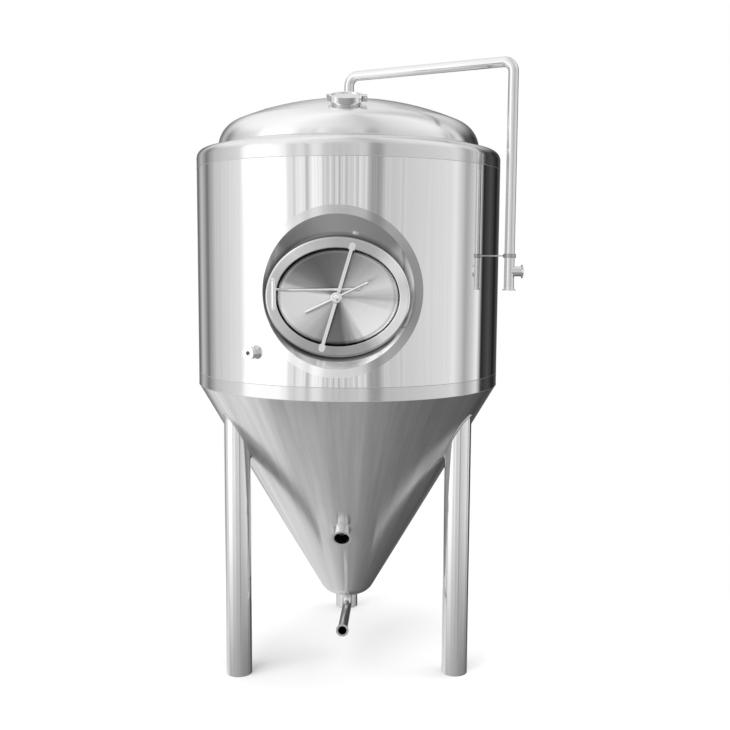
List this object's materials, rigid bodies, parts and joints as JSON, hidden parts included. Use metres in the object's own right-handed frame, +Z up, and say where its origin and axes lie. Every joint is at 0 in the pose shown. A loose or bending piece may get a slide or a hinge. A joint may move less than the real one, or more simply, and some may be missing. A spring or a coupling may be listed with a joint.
{
  "type": "conical fermenter",
  "caption": "Jacketed stainless tank with a domed top, conical bottom, three legs, oval manway, rinse arm, racking port and drain elbow.",
  "frame": {"origin": "on the floor, on the tank's vertical axis", "axes": "+Z up, the manway faces -Y, +X to the right when facing the manway"},
  "size_m": [1.2898, 1.2745, 2.403],
  "materials": {
    "mirror_steel": "polished",
    "brushed_steel": "satin",
    "satin_steel": "satin",
    "polished_steel": "polished",
    "white_rubber": "matte",
    "foam": "matte"
  },
  "bodies": {
    "tank": {"inner_shell": "satin_steel", "top_head": "brushed_steel", "inner_cone": "satin_steel", "shell_cooling_jacket": "satin_steel", "cone_cooling_jacket": "satin_steel", "shell_glycol_ports": "satin_steel", "cone_glycol_ports": "satin_steel", "shell_insulation": "foam", "cone_insulation": "foam", "shell_cladding": "mirror_steel", "lower_band": "brushed_steel", "shoulder_ring": "brushed_steel", "cone_cladding": "brushed_steel", "leg_front_left": "brushed_steel", "leg_front_right": "brushed_steel", "leg_rear": "brushed_steel", "leg_end_plates": "satin_steel", "manway_surround": "brushed_steel", "manway_frame": "polished_steel", "davit_lugs": "satin_steel", "davit_pin": "satin_steel", "davit_arm": "polished_steel", "top_port_ferrule": "satin_steel", "top_port_gasket": "white_rubber", "top_port_cap": "satin_steel", "top_port_clamp_fixed_half": "satin_steel", "top_port_clamp_hinged_half": "satin_steel", "top_port_clamp_hinge_pin": "satin_steel", "cip_port_ferrule": "satin_steel", "cip_port_gasket": "white_rubber", "cip_port_clamp_fixed_half": "satin_steel", "cip_port_clamp_hinged_half": "satin_steel", "cip_port_clamp_hinge_pin": "satin_steel", "cip_arm_top_ferrule": "satin_steel", "cip_arm": "polished_steel", "cip_inlet_ferrule": "satin_steel", "cip_branch_ferrule": "satin_steel", "cip_pipe_clip": "satin_steel", "cip_wall_bracket": "satin_steel", "spray_ball": "satin_steel", "relief_port_ferrule": "satin_steel", "thermowell_socket": "satin_steel", "thermowell_tube": "satin_steel", "racking_port": "satin_steel", "drain_arm": "polished_steel", "drain_ferrule": "satin_steel"},
    "cover": {"manway_cover": "brushed_steel", "manway_gasket": "white_rubber", "manway_stud": "satin_steel"},
    "yoke": {"crossbar": "polished_steel"},
    "handle": {"manway_handle": "polished_steel", "handle_washer": "satin_steel"},
    "top_bolt": {"top_port_swing_bolt": "satin_steel"},
    "top_nut": {"top_port_wing_nut": "satin_steel"},
    "cip_bolt": {"cip_port_swing_bolt": "satin_steel"},
    "cip_nut": {"cip_port_wing_nut": "satin_steel"}
  },
  "joints": [
    {"name": "cover_release", "type": "slide", "parent": "tank", "child": "cover", "axis": [0, 1, 0], "range_m": [0, 0.02]},
    {"name": "yoke_turn", "type": "hinge", "parent": "tank", "child": "yoke", "pos_m": [0, -0.595, 1.519], "axis": [0, -1, 0], "range_deg": [-10, 42]},
    {"name": "handle_turn", "type": "hinge", "parent": "yoke", "child": "handle", "pos_m": [0, -0.62, 1.519], "axis": [0, -1, 0], "range_deg": [0, 1800.1]},
    {"name": "top_bolt_swing", "type": "hinge", "parent": "tank", "child": "top_bolt", "pos_m": [0.0874, -0.39432, 2.23719], "axis": [0.014, -0.3475, 0.9376], "range_deg": [0, 100]},
    {"name": "top_nut_turn", "type": "hinge", "parent": "top_bolt", "child": "top_nut", "pos_m": [0.0874, -0.39432, 2.23719], "axis": [0.0376, -0.9368, -0.3478], "continuous": true},
    {"name": "cip_bolt_swing", "type": "hinge", "parent": "tank", "child": "cip_bolt", "pos_m": [0.03725, 0.01, 2.30575], "axis": [0, 0, 1], "range_deg": [0, 100]},
    {"name": "cip_nut_turn", "type": "hinge", "parent": "cip_bolt", "child": "cip_nut", "pos_m": [0.03725, 0.01, 2.30575], "axis": [0, -1, 0], "continuous": true}
  ],
  "couplings": [
    {"joint": "handle_turn", "follows": "cover_release", "rad_per_m": 1570.8}
  ]
}
